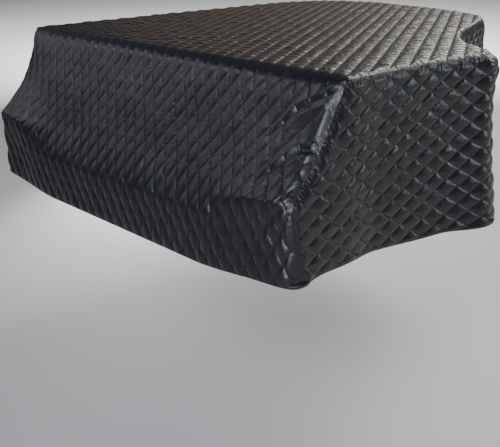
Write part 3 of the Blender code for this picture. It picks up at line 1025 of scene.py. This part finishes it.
band_satin = quilted_satin("black_quilted_satin_bands", (0.009, 0.010, 0.012), roughness=0.305)
treble_threads = ((1.010, -0.019, 0.0270), (0.012, 0.971, -0.0095))
level_threads = ((1.0, 0.0, 0.0125), (0.0, 1.0, 0.0))
bass_end = ring_end + CHEEK_REACH
side_band(
    "treble_side_quilt", "treble_panel", -CHEEK_REACH, treble_end, treble_cheek, treble_threads
)
side_band("tail_quilt", "tail_panel", treble_end, tail_end, None, level_threads)
side_band("bass_side_quilt", "bass_panel", tail_end, bass_end, bass_cheek, level_threads)


# Hem tape: a plain satin tape about 9 mm wide, folded over the cut edge all the way round
# and stitched through near its upper edges.

# Width of the flat tape, its thickness, and its shape across the hem with the width between
# the points of that. It ripples a little, and has a stitch every 3.2 mm.
TAPE_WALL = 0.0007
TAPE_SECTION = (
    # out from the cloth's face, and up from its cut edge
    (0.0006, 0.009), (0.0012, 0.0065), (0.0014, 0.003), (0.0008, 0.0002), (-0.0015, -0.0012),
    (-0.0038, 0.0002), (-0.0042, 0.003), (-0.0042, 0.0065), (-0.0036, 0.009),
)
TAPE_POINT_WIDTH = 0.0026
RIPPLE_HEIGHT = 0.0004
RIPPLE_WAVES = (410.0, 67.0)
TAPE_STITCH = 0.0032
FRONT_TAPE_POINTS = 360

# The line of the whole hem: along the front, then round the side bands and back.
corner_x = SEAM_X - CORNER_ROUND * (1.0 - math.sin(math.pi / 4))
hem_x = np.linspace(-1.0, 1.0, FRONT_TAPE_POINTS) * corner_x
band_from = treble_cheek.edge[-1, 0] + SEAM_SPACING
band_to = ring_end - (bass_cheek.edge[-1, 0] + SEAM_SPACING)
hem_along = np.linspace(band_from, band_to, BAND_POINTS)
hem_line = np.vstack([
    sheet_place(hem_x, front_hem(hem_x)),
    band_place(hem_along, band_hem(hem_along)),
])
count = len(hem_line)
for _ in range(3):
    hem_line = (np.roll(hem_line, 1, axis=0) + 2 * hem_line + np.roll(hem_line, -1, axis=0)) / 4
way = np.roll(hem_line, -1, axis=0) - np.roll(hem_line, 1, axis=0)
way /= np.linalg.norm(way, axis=1)[:, None]
up_way = np.array([0.0, 0.0, 1.0]) - way * way[:, 2:]
up_way /= np.linalg.norm(up_way, axis=1)[:, None]
out_way = np.cross(way, up_way)
tape_runs = run_lengths(hem_line)
closed_runs = np.append(tape_runs, tape_runs[-1] + math.dist(hem_line[-1], hem_line[0]))

tape = bmesh.new()
bmesh.ops.create_grid(tape, x_segments=count, y_segments=len(TAPE_SECTION) - 1, size=1.0)
tape_map = tape.loops.layers.uv.new("cloth")
for vert in tape.verts:
    run = round((vert.co.x + 1.0) / 2.0 * count)
    row = round((vert.co.y + 1.0) / 2.0 * (len(TAPE_SECTION) - 1))
    for loop in vert.link_loops:
        loop[tape_map].uv = (closed_runs[run], row * TAPE_POINT_WIDTH)
    run %= count
    quick, slow = (tape_runs[run] * waves for waves in RIPPLE_WAVES)
    out, up = TAPE_SECTION[row]
    out += RIPPLE_HEIGHT * math.sin(quick) * math.sin(slow + row)
    vert.co = hem_line[run] + out_way[run] * out + up_way[run] * up
bmesh.ops.remove_doubles(tape, verts=tape.verts, dist=0.00001)
bmesh.ops.recalc_face_normals(tape, faces=tape.faces)

tape_satin = Recipe("black_satin_tape")
tape_run, tape_cross = tape_satin.map("cloth")
dash = tape_satin.math("PINGPONG", tape_satin.math("DIVIDE", tape_run, TAPE_STITCH), 0.5)
dash = tape_satin.times(tape_satin.ease(dash, 0.12, 0.2), 0.0001)
ribs = tape_satin.noise(tape_run, tape_cross, (260.0, 90.0), detail=2.0)
hem_tape = put_up("hem_tape", tape, tape_satin.finish(
    Base_Color=tape_satin.blend(ribs, THREAD_BLACK, (0.016, 0.016, 0.019)),
    Normal=tape_satin.relief(tape_satin.math("ADD", tape_satin.times(ribs, 0.0012), dash)),
    Roughness=0.34,
))
wall = hem_tape.modifiers.new("Wall", "SOLIDIFY")
wall.thickness = TAPE_WALL
wall.offset = 0.0
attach(hem_tape, "root")
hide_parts("hem_binding")


# The room: a plain pale floor where the instrument would stand, and soft lights.

FLOOR_Z = -1.0615
FLOOR_HALF = 14.0

floor = bmesh.new()
bmesh.ops.create_grid(floor, x_segments=4, y_segments=4, size=FLOOR_HALF)
floor_paint = Recipe("pale_floor").finish(Base_Color=(0.70, 0.70, 0.70), Roughness=0.9)
studio_floor = put_up("studio_floor", floor, floor_paint)
studio_floor.location.z = FLOOR_Z


def hang_lamp(name, kind, place, aim, power, colour=(1.0, 1.0, 1.0)):
    """Put up a lamp that shines in the direction of its aim."""
    lamp = bpy.data.lights.new(name, kind)
    lamp.energy = power
    lamp.color = colour
    holder = bpy.data.objects.new(name, lamp)
    holder.location = place
    holder.rotation_euler = Vector(aim).to_track_quat("-Z", "Y").to_euler()
    bpy.context.collection.objects.link(holder)
    return lamp


# Windows, ceiling and walls as soft panels aimed at the cover. The narrow ones keep off the
# floor, which would brighten the lower front.
WIDE, NARROW = 180.0, 80.0
SOFT_LIGHTS = (
    # name, place, width and height, spread in degrees, power, colour
    ("window_rear", (0.3, 4.0, 2.8), (4.0, 2.0), WIDE, 192.0, (0.96, 1.0, 0.90)),
    ("ceiling_rear", (-1.2, 4.6, 3.8), (3.0, 2.0), WIDE, 72.0, (0.93, 1.0, 0.94)),
    ("window_right_rear", (4.2, 3.4, 0.9), (2.0, 1.4), WIDE, 60.0, (0.92, 0.96, 1.0)),
    ("warm_wall_left_rear", (-3.4, 3.6, 1.0), (4.0, 1.6), WIDE, 6.5, (1.0, 0.52, 0.20)),
    ("wall_left_front", (-3.5, -1.8, 1.5), (2.5, 2.0), WIDE, 10.5, (0.88, 0.89, 1.0)),
    ("wall_left_low", (-2.9, -3.3, 1.1), (1.6, 1.2), WIDE, 4.0, (0.88, 0.89, 1.0)),
    ("ceiling_left_front", (-2.2, -2.9, 2.6), (1.4, 1.0), NARROW, 3.6, (0.92, 0.93, 1.0)),
    ("ceiling_front", (1.5, -3.2, 1.4), (1.8, 1.2), NARROW, 14.0, (0.86, 0.88, 1.0)),
    ("wall_front", (3.0, -3.0, 1.2), (2.4, 1.6), WIDE, 15.0, (0.90, 0.92, 1.0)),
    ("wall_right_front", (2.9, -3.5, -0.4), (1.6, 1.0), NARROW, 15.5, (0.96, 0.93, 1.0)),
)
for name, spot, (width, height), spread, power, colour in SOFT_LIGHTS:
    lamp = hang_lamp(name, "AREA", spot, COVER_MIDDLE - Vector(spot), power, colour)
    lamp.shape = "RECTANGLE"
    lamp.size, lamp.size_y = width, height
    lamp.spread = math.radians(spread)

# Two lamps for the floor: one from above, and one under the cover, in its shadow.
FLOOR_LIGHTS = (
    # name, place, aim, power, beam in degrees, softness
    ("floor_lamp", (-1.5, 2.0, 3.6), (-6.5, 4.5, -4.66), 9300.0, 100.0, 0.4),
    ("under_lamp", (-2.9, 1.3, -0.62), (3.0, -1.5, -0.40), 700.0, 75.0, 0.2),
)
for name, spot, aim, power, beam, softness in FLOOR_LIGHTS:
    lamp = hang_lamp(name, "SPOT", spot, aim, power)
    lamp.spot_size = math.radians(beam)
    lamp.spot_blend = 1.0
    lamp.shadow_soft_size = softness

room_air = bpy.data.worlds.new("room_air")
room_air.use_nodes = True
background = room_air.node_tree.nodes["Background"]
background.inputs["Color"].default_value = (0.9, 0.93, 1.0, 1.0)
background.inputs["Strength"].default_value = 0.05
bpy.context.scene.world = room_air

# The camera stands in front of the treble corner, a little above the lid.
camera = bpy.data.cameras.new("camera")
camera.sensor_width = 36.0
camera.lens = 61.80
camera_holder = bpy.data.objects.new("camera", camera)
camera_holder.matrix_world = Matrix((
    (0.65802, -0.24205, 0.71303, 2.1105),
    (0.75281, 0.23270, -0.61574, -2.1053),
    (-0.01689, 0.94195, 0.33535, 0.3567),
    (0.0, 0.0, 0.0, 1.0),
))
bpy.context.collection.objects.link(camera_holder)
bpy.context.scene.camera = camera_holder
